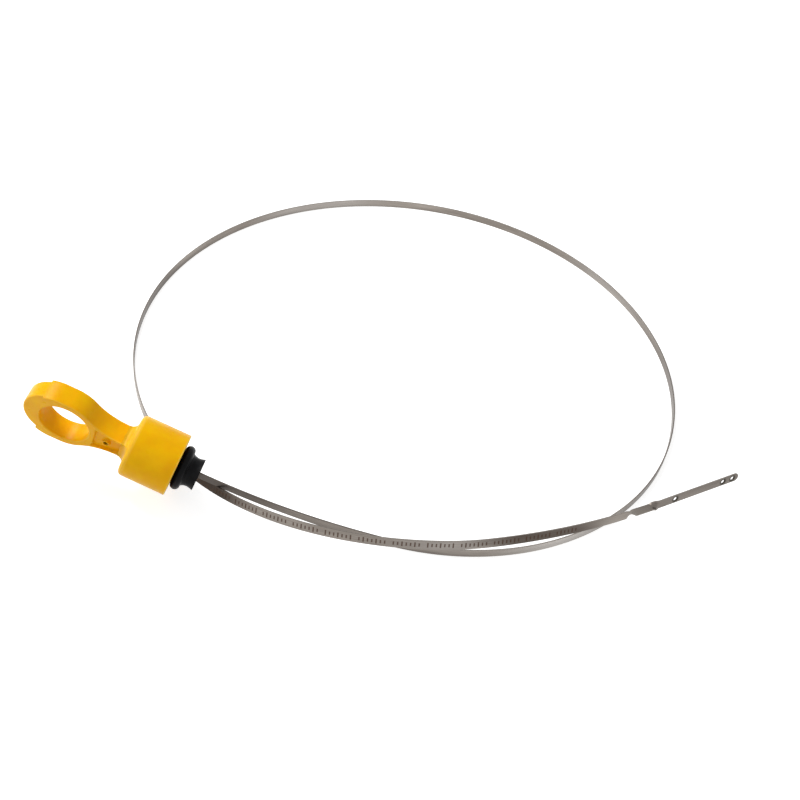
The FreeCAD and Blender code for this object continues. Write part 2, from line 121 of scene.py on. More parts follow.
BOSS_RADIUS = 1.7
LOCATING_HEIGHT, LOCATING_RADIUS = 31.4, 0.9
LOCATING_DEPTH, LOCATING_EASE = 2.4, 0.3
LOCATING_SHADE_INSET = 0.05

# Bearing, in radians, over which the ring's step falls
STEP_SLIVER = 0.004

# Painted highlights along the moulding's turned edges: how strong each is, and how far it fades on the
# cup's wall in millimetres
HIGHLIGHT_MOUTH, HIGHLIGHT_SHOULDER, HIGHLIGHT_COLLAR, HIGHLIGHT_RING = 0.7, 0.35, 0.8, 0.45
HIGHLIGHT_FADE = 0.5

# Grid of the handle and stopper: lowest even ring of the cup's wall in millimetres, and counts
CUP_WALL_FROM, CUP_WALL_RINGS = 2.0, 10
TURNED_RAYS = 128
COLLAR_RINGS = 14
FAR_BARS, STEP_BARS, SIDE_BARS, NECK_BARS = 14, 3, 76, 40
WALL_POINTS, EDGE_POINTS, FACE_POINTS = 9, 7, 110
CORNER_POINTS, SHOULDER_POINTS, WAIST_POINTS, BEAD_POINTS = 6, 12, 24, 24

# Stopper, in millimetres and degrees, in the handle's frame
SEAL_REACH = 9.9
SEAL_LIP_ROUND = 0.25
SEAL_BEAD_RADIUS, SEAL_BEAD_OFFSET, SEAL_BEAD_ROUND, SEAL_BEAD_WRAP = 10.1, 2.3, 2.2, 100.0
SEAL_NOSE_RADIUS, SEAL_WAIST_RADIUS, SEAL_SLEEVE_RADIUS = 7.2, 6.3, 7.6
WAIST_PULL_IN, WAIST_PULL_UP = 0.35, 0.55
SLEEVE_ROOT_HEIGHT, SLEEVE_ROOT_ROUND, SLEEVE_ROOT_FROM = 0.6, 0.4, 250.0
SEAL_CLEARANCE = 0.1

# Colours, on a screen's scale of 0 to 255
YELLOW_DEEP, YELLOW_BRIGHT = (241, 174, 0), (249, 190, 0)
# Painted highlight for the moulding's turned edges, then painted shade for the neck's pocket
YELLOW_HIGHLIGHT, YELLOW_SHADED = (255, 208, 84), (230, 146, 0)
# Painted shade in the locating hole
LOCATING_HOLE_SHADE = (38, 24, 8)
RUBBER_BLACK, RUBBER_BLOOM = (9, 9, 10), (20, 21, 23)
# The third steel colour is a painted highlight and bright reflection
STEEL_DARK, STEEL_LIGHT, STEEL_PAINTED_SHINE = (100, 93, 87), (151, 144, 137), (212, 209, 206)
EDGE_DARK, EDGE_LIGHT = (120, 114, 108), (154, 148, 142)
# The first colour is painted shade and dark reflections; the second is the etched scale
STEEL_PAINTED_SHADE, ETCHED_BROWN = (56, 47, 41), (66, 48, 38)
# Painted shade round the level holes, then on their walls
HOLE_SHADE_RING, HOLE_WALL_SHADE = (50, 46, 36), (44, 40, 36)

# Where most values of a noise lie, and a share from none to all
NOISE_SPAN = (0.3, 0.7)
WHOLE = (0.0, 1.0)

# Places of the Mix node's colour sockets: share, first colour, second colour and result
MIX_SHARE, MIX_FIRST, MIX_SECOND, MIX_RESULT = 0, 6, 7, 2

# Table, surroundings and lamps, in metres and watts: white is 1, and the part lies at the middle
WHITE = (1.0, 1.0, 1.0, 1.0)
TABLE_COLOUR, TABLE_GLOW, TABLE_HALF = (0.8, 0.8, 0.8, 1.0), 0.7, 4.0
SURROUND_LIGHT, SURROUND_SEEN = 0.42, 1.0
KEY_PLACE, KEY_SIZE, KEY_POWER = (-0.6, 0.22, 1.0), 0.42, 9.4
FILL_PLACE, FILL_SIZE, FILL_POWER = (-0.5, -1.0, 0.7), 0.9, 1.9

# Camera, in millimetres and degrees: the point looked at is given from the coil's centre
CAMERA_LOOK = np.array([-0.7, -29.1, 0.0])
CAMERA_DISTANCE = 604.0
CAMERA_DOWN, CAMERA_ROLL, CAMERA_VIEW = 43.0, 9.5, 36.0
SENSOR_WIDTH = 36.0
CLIP_START = 10.0


def eased(share):
    """Smooth step: three times the square less twice the cube of the share, held between 0 and 1."""
    share = np.clip(share, 0.0, 1.0)
    return share * share * (3.0 - 2.0 * share)


def eased_slope(share):
    """Slope of the smooth step: six times the share times what is left of it."""
    share = np.clip(share, 0.0, 1.0)
    return 6.0 * share * (1.0 - share)


def unit(vectors):
    """Each row divided by its length."""
    return vectors / np.linalg.norm(vectors, axis=-1, keepdims=True)


def grid_faces(rows, columns, wrap_rows=False, wrap_columns=False):
    """Quads over a grid of points, row by row, joined end to start along the wrapped ways."""
    row = np.arange(rows if wrap_rows else rows - 1)[:, None]
    column = np.arange(columns if wrap_columns else columns - 1)[None, :]
    next_row = (row + 1) % rows
    next_column = (column + 1) % columns
    corners = (row * columns + column, next_row * columns + column,
               next_row * columns + next_column, row * columns + next_column)
    return np.stack([np.broadcast_to(c, (row.size, column.size)) for c in corners], -1).reshape(-1, 4)


def joined(shells):
    """One list of points and faces from several (points, faces, values), with the faces renumbered."""
    counts = np.cumsum([0] + [len(points) for points, _, _ in shells])
    points = np.concatenate([points for points, _, _ in shells])
    faces = np.concatenate([faces + start for (_, faces, _), start in zip(shells, counts)])
    values = np.concatenate([values for _, _, values in shells])
    return points, faces, values


def welded(points, faces, values):
    """Points in the same cell of a fine grid become one, and a quad with a doubled corner a triangle."""
    cells = np.round(points / WELD).astype(np.int64)
    _, kept, renamed = np.unique(cells, axis=0, return_index=True, return_inverse=True)
    faces = renamed.reshape(-1)[faces]
    doubled = faces == np.roll(faces, -1, axis=1)
    pinched = doubled.sum(axis=1) == 1
    quads = faces[~doubled.any(axis=1)]
    gone = np.argmax(doubled[pinched], axis=1)
    left = (gone[:, None] + np.array([1, 2, 3])[None, :]) % 4
    triangles = np.take_along_axis(faces[pinched], left, axis=1)
    return points[kept], quads, triangles, values[kept]


def make_piece(name, node, shells, layer, materials):
    """Puts the shells, in metres, into one smooth mesh that stands for a node of the frame.

    The two values of each point go into a UV map.
    """
    points, quads, triangles, values = welded(*joined(shells))
    mesh = bpy.data.meshes.new(name)
    mesh.from_pydata(points.tolist(), [], quads.tolist() + triangles.tolist())
    corner_points = np.empty(len(mesh.loops), np.int32)
    mesh.loops.foreach_get("vertex_index", corner_points)
    uv = mesh.uv_layers.new(name=layer)
    uv.data.foreach_set("uv", values[corner_points].astype(np.float32).ravel())
    mesh.polygons.foreach_set("use_smooth", np.ones(len(mesh.polygons), bool))
    mesh.update()
    piece = bpy.data.objects.new(name, mesh)
    bpy.context.scene.collection.objects.link(piece)
    for material in materials:
        mesh.materials.append(material)
    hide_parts(node)
    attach(piece, "root")
    return piece


def run_along(start, heading, distance, radius=None):
    """Points and headings at distances along a straight run, or along an arc that turns left."""
    if radius is None:
        headings = np.full_like(distance, heading)
        across = np.stack([np.cos(headings), np.sin(headings)], 1) * distance[:, None]
    else:
        headings = heading + distance / radius
        across = radius * np.stack([np.sin(headings) - math.sin(heading),
                                    math.cos(heading) - np.cos(headings)], 1)
    return start + across, headings


def stations(length, gap):
    """Even distances from 0 to the length, no further apart than the gap."""
    return np.linspace(0.0, length, int(math.ceil(length / gap)) + 1)


@cache
def strip_route():
    """The strip's line from the stopper's nose to the tip plate: centres, travel, lean and distances.

    Ramp: straight, its height falling with the square of what is left of it, its roll easing to upright.
    Lead bend and coil: two tangent arcs on the table.  Riser: the coil's arc, lifting and leaning on a
    smooth step.  Tail: a wide arc, level.  Twists: a gentle arc with two quarter turns, both one way.
    """
    first, turn = math.radians(COIL_FROM), math.radians(LEAD_TURN)
    ramp_heading = first - turn + math.pi / 2
    bend_centre = (COIL_RADIUS - LEAD_RADIUS) * np.array([math.cos(first), math.sin(first)])
    bend_start = bend_centre + LEAD_RADIUS * np.array([math.cos(first - turn), math.sin(first - turn)])
    ramp_start = bend_start - RAMP * np.array([math.cos(ramp_heading), math.sin(ramp_heading)])
    rise_run = COIL_RADIUS * math.radians(COIL_TO - RISE_FROM)
    low = STRIP_WIDTH / 2
    high = low + RISE_HEIGHT * eased(rise_run / RISE_LENGTH)
    steep = math.tan(math.radians(HANDLE_TILT))

    ahead = stations(RAMP, STATION_GAP)
    left = RAMP - ahead
    plan, heading = run_along(ramp_start, ramp_heading, ahead)
    runs = [(plan, heading, ahead, low + steep * left ** 2 / (2 * RAMP), -steep * left / RAMP,
             -HANDLE_ROLL * (1 - eased(ahead / RAMP)))]

    def add_arc(ahead, radius, height, slope, lean):
        plans, headings = runs[-1][:2]
        plan, heading = run_along(plans[-1], headings[-1], ahead, radius)
        still = np.zeros_like(ahead)
        runs.append((plan, heading, ahead, height + still, slope + still, lean + still))

    for radius, angle in ((LEAD_RADIUS, LEAD_TURN), (COIL_RADIUS, RISE_FROM - COIL_FROM)):
        add_arc(stations(radius * math.radians(angle), STATION_GAP), radius, low, 0.0, 0.0)

    ahead = stations(rise_run, STATION_GAP)
    share = ahead / RISE_LENGTH
    add_arc(ahead, COIL_RADIUS, low + RISE_HEIGHT * eased(share),
            RISE_HEIGHT * eased_slope(share) / RISE_LENGTH, TAIL_LEAN * eased(ahead / LEAN_LENGTH))

    ahead = stations(TAIL_RADIUS * math.radians(TAIL_TURN), STATION_GAP)
    add_arc(ahead, TAIL_RADIUS, high, 0.0, TAIL_LEAN + (TIP_LEAN - TAIL_LEAN) * eased(ahead / ahead[-1]))

    ahead = stations(TWIST_STARTS[-1] + TWIST_LENGTH, TWIST_GAP)
    quarters = sum(eased((ahead - start) / TWIST_LENGTH) for start in TWIST_STARTS)
    add_arc(ahead, ahead[-1] / math.radians(TWIST_TURN), high, 0.0, TIP_LEAN - TWIST_ANGLE * quarters)

    def end_to_end(parts):
        return np.concatenate([parts[0]] + [part[1:] for part in parts[1:]])

    plans, headings, aheads, heights, slopes, leans = zip(*runs)
    begins = np.cumsum([0.0] + [ahead[-1] for ahead in aheads[:-1]])
    distance = end_to_end([ahead + begin for ahead, begin in zip(aheads, begins)])
    heading = end_to_end(headings)
    centre = np.column_stack([end_to_end(plans), end_to_end(heights)]) + COIL_CENTRE
    travel = unit(np.column_stack([np.cos(heading), np.sin(heading), end_to_end(slopes)]))
    return centre, travel, np.radians(end_to_end(leans)), distance


def strip_sections(travel, lean):
    """Way across the strip at each station: upright, turned inward about the travel by the lean."""
    outward = unit(np.cross(travel, UP))
    upright = np.cross(outward, travel)
    return upright * np.cos(lean)[:, None] - outward * np.sin(lean)[:, None]


def hole_cell(end_inset=None):
    """Plate between a level hole and its cell's outline, as a grid of angle by share of the way out.

    The outline is a square as wide as the strip.  The last cell's front half follows the strip's
    sides and round end instead: a circle as wide as the strip, set on from the hole.
    """
    half = STRIP_WIDTH / 2
    angle = np.linspace(0.0, 2 * math.pi, HOLE_RAYS + 1)
    along, across = np.cos(angle), np.sin(angle)
    to_side = half / np.maximum(np.abs(across), TINY)
    reach = np.minimum(half / np.maximum(np.abs(along), TINY), to_side)
    if end_inset is not None:
        set_on = end_inset - half
        to_circle = set_on * along + np.sqrt(np.maximum(half ** 2 - (set_on * across) ** 2, 0.0))
        front = np.where(to_circle * along > set_on, to_circle, to_side)
        reach = np.where(along > TINY, front, reach)
    share = np.linspace(0.0, 1.0, HOLE_RINGS + 1)[None, :]
    out = LEVEL_HOLE_RADIUS + (reach[:, None] - LEVEL_HOLE_RADIUS) * share
    return along[:, None] * out, across[:, None] * out


def strip_shells():
    """The strip as one sheet at mid-thickness: the swept band, then the tip plate with its level holes.

    Columns lie at the tangents of even angles, where the rays from a level hole meet its square cell.
    """
    half = STRIP_WIDTH / 2
    across = half * np.tan(np.linspace(-math.pi / 4, math.pi / 4, HOLE_RAYS // 4 + 1))

    centre, travel, lean, distance = strip_route()
    back = np.linspace(-ANCHOR, 0.0, ANCHOR_STATIONS)[:-1]
    centre = np.concatenate([centre[0] + back[:, None] * travel[0], centre])
    travel = np.concatenate([np.repeat(travel[:1], len(back), 0), travel])
    lean = np.concatenate([np.repeat(lean[:1], len(back)), lean])
    distance = np.concatenate([back, distance])
    width = strip_sections(travel, lean)

    band = centre[:, None, :] + across[None, :, None] * width[:, None, :]
    marks = np.stack(np.broadcast_arrays(distance[:, None], across[None, :]), -1)
    shells = [(band.reshape(-1, 3), grid_faces(*band.shape[:2]), marks.reshape(-1, 2))]

    def plate(ahead, side):
        points = centre[-1] + ahead[..., None] * travel[-1] + side[..., None] * width[-1]
        values = np.stack([distance[-1] + ahead, side], -1)
        return points.reshape(-1, 3), grid_faces(*ahead.shape), values.reshape(-1, 2)

    end, low, high = (TIP - inset for inset in LEVEL_HOLE_INSETS)
    for start, stop in ((0.0, high - half), (high + half, low - half), (low + half, end - half)):
        ahead, side = np.meshgrid(stations(stop - start, STATION_GAP) + start, across, indexing="ij")
        shells.append(plate(ahead, side))
    for middle, inset in ((high, None), (low, None), (end, LEVEL_HOLE_INSETS[0])):
        ahead, side = hole_cell(inset)
        points, faces, values = plate(ahead + middle, side)
        shells.append((points, faces[:, ::-1], values))
    return [(points * MM, faces, values * MM) for points, faces, values in shells]


def make_strip(materials):
    """Gives the sheet its thickness both ways and eases its sheared edges."""
    strip = make_piece("blade_strip", "blade", strip_shells(), "strip", materials)
    wall = strip.modifiers.new("thickness", "SOLIDIFY")
    wall.thickness = STRIP_THICKNESS * MM
    wall.offset = 0.0
    wall.use_even_offset = True
    wall.material_offset = 1
    wall.material_offset_rim = 2
    ease = strip.modifiers.new("eased_edges", "BEVEL")
    ease.width = STRIP_EDGE_ROUND * MM
    ease.segments = 2
    ease.limit_method = "ANGLE"
    ease.angle_limit = math.radians(STRIP_EDGE_ANGLE)
    ease.harden_normals = True


@cache
def handle_frame():
    """Mouth centre and axes of the handle, from the strip's first station: Z runs back along it."""
    centre, travel, lean, _ = strip_route()
    across = strip_sections(travel[:1], lean[:1])[0]
    axis = -travel[0]
    facing = np.cross(across, axis)
    return centre[0] + axis * SEAL_REACH, np.stack([facing, across, axis])


def in_place(local):
    """A grid of points in handle coordinates as a list in the part's frame, in metres."""
    mouth, axes = handle_frame()
    return (mouth + local.reshape(-1, 3) @ axes) * MM


def corner_arc(radius_at, height_at, radius, start, stop, count=CORNER_POINTS):
    """Points of a small arc about a centre, from one angle to the other in degrees."""
    angle = np.radians(np.linspace(start, stop, count))
    return np.column_stack([radius_at + radius * np.cos(angle), height_at + radius * np.sin(angle)])


def revolved(parts):
    """Stretches of a profile, of radius and height, carried once round the handle's axis.

    Each stretch comes with the strength of the painted highlight on its edge.  The first value of a
    point is that with its sign turned, and the second, which marks the neck's pocket, is 0.
    """
    profile = np.concatenate([np.asarray(stretch) for stretch, _ in parts])
    edge_highlight = np.concatenate([np.full(len(stretch), value) for stretch, value in parts])
    angle = np.linspace(0.0, 2 * math.pi, TURNED_RAYS, endpoint=False)[:, None]
    radius, height = profile[None, :, 0], profile[None, :, 1]
    local = np.stack(np.broadcast_arrays(radius * np.cos(angle), radius * np.sin(angle), height), -1)
    values = np.stack(np.broadcast_arrays(-edge_highlight[None, :], 0.0 * angle), -1)
    faces = grid_faces(TURNED_RAYS, len(profile), wrap_rows=True)
    return in_place(local), faces, values.reshape(-1, 2)


def cup_shell():
    """The cup: outer wall with a slight draft, round shoulder, bore, floor and the stem inside."""
    rim, root = CUP_RIM_ROUND, CUP_ROOT_ROUND
    floor = CUP_LENGTH - CUP_FLOOR
    shoulder = CUP_SHOULDER_RADIUS - CUP_SHOULDER_ROUND
    wall_top = CUP_LENGTH - CUP_SHOULDER_ROUND
    rings = np.linspace(CUP_WALL_FROM, wall_top - HIGHLIGHT_FADE, CUP_WALL_RINGS)
    heights = np.concatenate([[rim + HIGHLIGHT_FADE], rings])
    draft = (CUP_SHOULDER_RADIUS - CUP_MOUTH_RADIUS) / (wall_top - rim)
    wall = np.column_stack([CUP_MOUTH_RADIUS + draft * (heights - rim), heights])
    return revolved([
        ([[0.0, -STEM_REACH], [STEM_RADIUS - rim, -STEM_REACH]], 0.0),
        (corner_arc(STEM_RADIUS - rim, rim - STEM_REACH, rim, -90, 0), 0.0),
        (corner_arc(STEM_RADIUS + root, floor - root, root, 180, 90), 0.0),
        (corner_arc(CUP_BORE_RADIUS - root, floor - root, root, 90, 0), 0.0),
        (corner_arc(CUP_BORE_RADIUS + rim, rim, rim, 180, 270), 0.0),
        # Painted highlights on the mouth's rim and the shoulder's round
        (corner_arc(CUP_MOUTH_RADIUS - rim, rim, rim, -90, 0), HIGHLIGHT_MOUTH),
        (wall, 0.0),
        (corner_arc(shoulder, wall_top, CUP_SHOULDER_ROUND, 0, 90, SHOULDER_POINTS), HIGHLIGHT_SHOULDER),
        ([[shoulder / 2, CUP_LENGTH], [0.0, CUP_LENGTH]], 0.0),
    ])


def collar_shell():
    """The neck's flared foot, a grid of angle by height: the neck's square with a hollow quarter round.

    At each angle the point is the square's, plus the round's overhang along the ray.  The foot stands a
    little way in the cup's shoulder, and a cap closes each end.
    """
    angle = np.linspace(0.0, 2 * math.pi, TURNED_RAYS, endpoint=False)[:, None]
    rise = np.radians(np.linspace(0.0, 90.0, COLLAR_RINGS))
    hollow = COLLAR_ROUND * (1 - np.sin(rise))
    overhang = np.concatenate([[COLLAR_ROUND, COLLAR_ROUND], hollow, [0.0]])[None, :]
    climb = COLLAR_ROUND * (1 - np.cos(rise))
    lift = np.concatenate([[-COLLAR_SUNK, -COLLAR_SUNK], climb, [COLLAR_ROUND]])[None, :]
    open_wide = np.ones(lift.shape)
    open_wide[:, [0, -1]] = 0.0
    ray = np.stack([np.cos(angle), np.sin(angle)], -1)
    square = HALF_NECK * np.clip(math.sqrt(2) * ray, -1.0, 1.0)
    plan = open_wide[..., None] * (square + overhang[..., None] * ray)
    height = np.broadcast_to(CUP_LENGTH + lift, plan.shape[:2])
    local = np.concatenate([plan, height[..., None]], -1)
    # Painted highlight on the collar's hollow round
    values = np.stack(np.broadcast_arrays(-HIGHLIGHT_COLLAR * overhang / COLLAR_ROUND, 0.0 * height), -1)
    faces = grid_faces(*local.shape[:2], wrap_rows=True)
    return in_place(local), faces, values.reshape(-1, 2)


def ring_outline(angle):
    """Distance from the hole's centre to the moulding's outline, by angle from the handle's far end.

    The least or greatest of plain shapes: the far circle and the straight sides ahead, the near circle
    beside, and behind it the hollow flare, a circle outside the outline, that runs into the neck's side.
    """
    side, ahead = np.abs(np.sin(angle)), np.cos(angle)
    far = RING_STRETCH * ahead + np.sqrt(RING_RADIUS ** 2 - (RING_STRETCH * side) ** 2)
    straight = RING_RADIUS / np.maximum(side, TINY)
    front = np.where(far * ahead > RING_STRETCH, far, straight)
    flare_out = HALF_NECK + FLARE_ROUND
    flare_back = math.sqrt((RING_RADIUS + FLARE_ROUND) ** 2 - flare_out ** 2)
    towards = flare_out * side - flare_back * ahead
    inside = np.maximum(towards ** 2 - (flare_out ** 2 + flare_back ** 2 - FLARE_ROUND ** 2), 0.0)
    flare = towards - np.sqrt(inside)
    neck = HALF_NECK / np.maximum(side, TINY)
    foot = (HOLE_HEIGHT - CUP_LENGTH + CUP_FLOOR / 2) / np.maximum(-ahead, TINY)
    bearing = np.arctan2(side, -ahead)
    touches_ring = math.atan2(flare_out, flare_back)
    touches_neck = math.atan2(HALF_NECK, flare_back)
    behind = np.where(bearing > touches_ring, RING_RADIUS, np.where(bearing > touches_neck, flare, neck))
    return np.where(ahead > 0, front, np.minimum(behind, foot))


def ring_bars():
    """Bearing of each bar at the hole and at the outline, and how much thinner it is past the step.

    Near the far end the bars slant, by a share that grows up to the step and then eases out, so that
    one of them lies along the step.
    """
    step_ahead = STEP_HEIGHT - HOLE_HEIGHT
    step_out = math.sqrt(RING_RADIUS ** 2 - (step_ahead - RING_STRETCH) ** 2)
    at_outline = math.atan2(step_out, step_ahead)
    at_hole = math.acos(step_ahead / HOLE_RADIUS)
    at_neck = math.pi - math.radians(NECK_TURN)
    half = np.concatenate([
        np.linspace(0.0, at_hole - STEP_SLIVER, FAR_BARS),
        np.linspace(at_hole - STEP_SLIVER / 2, at_hole + STEP_SLIVER / 2, STEP_BARS),
        np.linspace(at_hole + STEP_SLIVER, at_neck, SIDE_BARS)[:-1],
        np.linspace(at_neck, math.pi, NECK_BARS),
    ])
    inner = np.concatenate([half, 2 * math.pi - half[-2:0:-1]])
    away = np.minimum(inner, 2 * math.pi - inner)
    dying = 1 - eased((away - at_hole) / (math.radians(SLANT_TURN) - at_hole))
    slant = np.where(away < at_hole, away / at_hole, dying)
    outer_away = away + (at_outline - at_hole) * slant
    outer = np.where(inner <= math.pi, outer_away, 2 * math.pi - outer_away)
    thinner = STEP_DEPTH * (1 - eased((away - at_hole) / STEP_SLIVER + 0.5))
    return inner, outer, thinner


def bar_section(length, half_thick):
    """Round each bar: distance from the hole, height over the mid-plane, and the strength of a painted
    highlight on the turned edge.

    The section goes along the hole's wall, out over one broad face, along the outline's wall and
    back over the other face, with a quarter round between each two.
    """
    ease = RING_EDGE_ROUND
    arc = np.radians(np.linspace(0.0, 90.0, EDGE_POINTS))[None, :]
    face = np.linspace(0.0, 1.0, FACE_POINTS)[None, 1:-1]
    wall = np.linspace(-1.0, 1.0, WALL_POINTS)[None, 1:-1]
    one = np.ones_like(length)
    turned_in = ease * (1 - np.cos(arc))
    top = half_thick - ease * (1 - np.sin(arc))
    reach = np.concatenate([
        0.0 * wall * one,
        turned_in * one,
        ease + face * (length - 2 * ease),
        length - turned_in[:, ::-1],
        length + 0.0 * wall,
        length - turned_in,
        length - ease - face * (length - 2 * ease),
        turned_in[:, ::-1] * one,
    ], axis=1)
    upper = [wall * (half_thick - ease), top, half_thick + 0.0 * face, top[:, ::-1]]
    thick = np.concatenate(upper + [-part for part in upper], axis=1)
    # Painted highlight, strongest halfway round each turned edge
    turned = np.sin(2 * arc)
    edge_highlight = np.concatenate([0.0 * wall, turned, 0.0 * face, turned] * 2, axis=1)
    return reach, thick, edge_highlight


def pocket_floor(across, height):
    """Depth below the broad face, and the masks of the pocket and of the locating hole's painted shade.

    The pocket is a product of smooth steps at its flared sides and two ends.  A boss is left standing in
    it, and the locating hole is sunk in the boss.
    """
    flare = np.clip((height - POCKET_LOW) / (POCKET_HIGH - POCKET_LOW), 0.0, 1.0)
    half = POCKET_HALF_LOW + (POCKET_HALF_HIGH - POCKET_HALF_LOW) * flare
    insets = (half - np.abs(across), height - POCKET_LOW, POCKET_HIGH - height)
    pocket = math.prod(eased(inset / POCKET_EASE) for inset in insets)
    from_hole = np.hypot(across, height - LOCATING_HEIGHT)
    sunk = pocket * eased((from_hole - BOSS_RADIUS) / POCKET_EASE + 0.5)
    bored = 1 - eased((from_hole - LOCATING_RADIUS) / LOCATING_EASE + 0.5)
    # Painted shade in the locating hole
    locating_shade = 1 - eased((from_hole - LOCATING_RADIUS + LOCATING_SHADE_INSET) / LOCATING_EASE)
    return POCKET_DEPTH * sunk + LOCATING_DEPTH * bored, pocket, locating_shade


def ring_shell():
    """The neck and finger ring: at each bearing round the hole, a rounded bar out to the outline.

    The two broad faces sink to the pocket's floor.  The first value of a point is the painted shade of
    the locating hole less the painted highlight of a turned edge, and the second is the pocket's mask,
    which also sets the pocket's painted shade.
    """
    inner, outer, thinner = ring_bars()
    hole_point = HOLE_RADIUS * np.column_stack([np.sin(inner), np.cos(inner)])
    rim_point = ring_outline(outer)[:, None] * np.column_stack([np.sin(outer), np.cos(outer)])
    length = np.linalg.norm(rim_point - hole_point, axis=1)[:, None]
    towards = (rim_point - hole_point) / length
    half_thick = (RING_HALF_THICK - thinner)[:, None]
    reach, thick, edge_highlight = bar_section(length, half_thick)

    across = hole_point[:, :1] + towards[:, :1] * reach
    height = HOLE_HEIGHT + hole_point[:, 1:] + towards[:, 1:] * reach
    depth, pocket, locating_shade = pocket_floor(across, height)
    on_face = np.abs(thick) >= half_thick - TINY
    thick = np.where(on_face, np.sign(thick) * (np.abs(thick) - depth), thick)

    local = np.stack([thick, across, height], -1)
    faces = grid_faces(*local.shape[:2], wrap_rows=True, wrap_columns=True)
    # Painted shade of the locating hole, less the painted highlight on turned edges
    values = np.stack([locating_shade - HIGHLIGHT_RING * edge_highlight, pocket], -1)
    return in_place(local), faces, values.reshape(-1, 2)


def stopper_shell():
    """The rubber stopper: flat nose with a sharp rim, hollow waist, round bead and the sleeve behind it.

    The waist is a quadratic curve from the nose's lip to the bead's foot, pulled in towards the axis.
    """
    rim, nose = SEAL_LIP_ROUND, -SEAL_REACH
    bead = SEAL_BEAD_RADIUS - SEAL_BEAD_ROUND
    wrap = SEAL_BEAD_WRAP
    foot = corner_arc(bead, -SEAL_BEAD_OFFSET, SEAL_BEAD_ROUND, -wrap, wrap, BEAD_POINTS)[0]
    lip = np.array([SEAL_NOSE_RADIUS, nose + rim])
    pull = np.array([SEAL_WAIST_RADIUS - WAIST_PULL_IN, (lip[1] + foot[1]) / 2 + WAIST_PULL_UP])
    share = np.linspace(0.0, 1.0, WAIST_POINTS)[1:-1, None]
    waist = lip * (1 - share) ** 2 + 2 * pull * share * (1 - share) + foot * share ** 2
    root = CUP_LENGTH - CUP_FLOOR - SEAL_CLEARANCE
    bore, bore_end = STEM_RADIUS + SEAL_CLEARANCE, -STEM_REACH - SEAL_CLEARANCE
    profile = np.concatenate([
        [[0.0, nose], [SEAL_NOSE_RADIUS / 2, nose]],
        corner_arc(SEAL_NOSE_RADIUS - rim, nose + rim, rim, -90, 0),
        waist,
        corner_arc(bead, -SEAL_BEAD_OFFSET, SEAL_BEAD_ROUND, -wrap, wrap, BEAD_POINTS),
        corner_arc(SEAL_SLEEVE_RADIUS + SLEEVE_ROOT_ROUND, SLEEVE_ROOT_HEIGHT, SLEEVE_ROOT_ROUND,
                   SLEEVE_ROOT_FROM, 180),
        [[SEAL_SLEEVE_RADIUS, root], [bore, root], [bore, bore_end], [0.0, bore_end]],
    ])
    return revolved([(profile, 0.0)])


class Finish:
    """A material under construction: its nodes, its links and its surface shader."""

    def __init__(self, name):
        self.material = bpy.data.materials.new(name)
        self.material.use_nodes = True
        self.tree = self.material.node_tree
        self.surface = self.tree.nodes["Principled BSDF"]

    def node(self, kind, **settings):
        """A new node of a kind, with its settings."""
        made = self.tree.nodes.new(kind)
        for key, value in settings.items():
            setattr(made, key, value)
        return made

    def feed(self, socket, value):
        """Links another node's output to the socket, or sets a constant on the socket itself."""
        if hasattr(value, "links"):
            self.tree.links.new(value, socket)
        else:
            socket.default_value = value

    def set(self, made, **sockets):
        """Feeds a node's sockets by name, with an underscore for each space."""
        for key, value in sockets.items():
            self.feed(made.inputs[key.replace("_", " ")], value)
        return made

    def place(self):
        """Position on the piece, which sits in the part's frame, in metres."""
        return self.node("ShaderNodeTexCoord").outputs["Object"]

    def values(self, layer):
        """The two values that a piece keeps in its UV map, together and each by itself."""
        both = self.node("ShaderNodeUVMap", uv_map=layer).outputs["UV"]
        parts = self.set(self.node("ShaderNodeSeparateXYZ"), Vector=both)
        return both, parts.outputs["X"], parts.outputs["Y"]

    def math(self, operation, *values):
        """The result of one operation on one or two values."""
        made = self.node("ShaderNodeMath", operation=operation)
        for socket, value in zip(made.inputs, values):
            self.feed(socket, value)
        return made.outputs[0]

    def noise(self, where, scale, detail=3.0, roughness=0.5):
        """Smooth noise over a position."""
        made = self.node("ShaderNodeTexNoise")
        self.set(made, Vector=where, Scale=scale, Detail=detail, Roughness=roughness)
        return made.outputs["Fac"]

    def stretched_noise(self, where, along, across, detail, roughness):
        """Noise over the strip's two values, with a scale along it and another across."""
        scaled = self.set(self.node("ShaderNodeMapping"), Vector=where, Scale=(along, across, 1.0))
        return self.noise(scaled.outputs[0], 1.0, detail, roughness)

    def range(self, value, old, new, **settings):
        """The value carried from its old range to the new one, and held within it."""
        made = self.node("ShaderNodeMapRange", **settings)
        self.set(made, Value=value, From_Min=old[0], From_Max=old[1], To_Min=new[0], To_Max=new[1])
        return made.outputs["Result"]

    def band(self, value, start, end, ease, strength):
        """The strength between start and end, on a smooth step over the ease to each side of both."""
        smooth = {"interpolation_type": "SMOOTHSTEP"}
        rising = self.range(value, (start - ease, start + ease), (0.0, strength), **smooth)
        falling = self.range(value, (end - ease, end + ease), (1.0, 0.0), **smooth)
        return self.math("MULTIPLY", rising, falling)

    def blend(self, share, first, second):
        """A share of the second colour over the first."""
        made = self.node("ShaderNodeMix", data_type="RGBA")
        for index, value in ((MIX_SHARE, share), (MIX_FIRST, first), (MIX_SECOND, second)):
            self.feed(made.inputs[index], value)
        return made.outputs[MIX_RESULT]

    def bump(self, height, strength, distance):
        """A normal tipped by the slope of a height, the distance being in metres."""
        made = self.node("ShaderNodeBump")
        self.set(made, Height=height, Strength=strength, Distance=distance)
        return made.outputs["Normal"]


def colour(screen):
    """A screen colour, 0 to 255, as the linear light that it stands for."""
    share = np.array(screen) / 255.0
    linear = np.where(share <= 0.04045, share / 12.92, ((share + 0.055) / 1.055) ** 2.4)
    return (*linear.tolist(), 1.0)


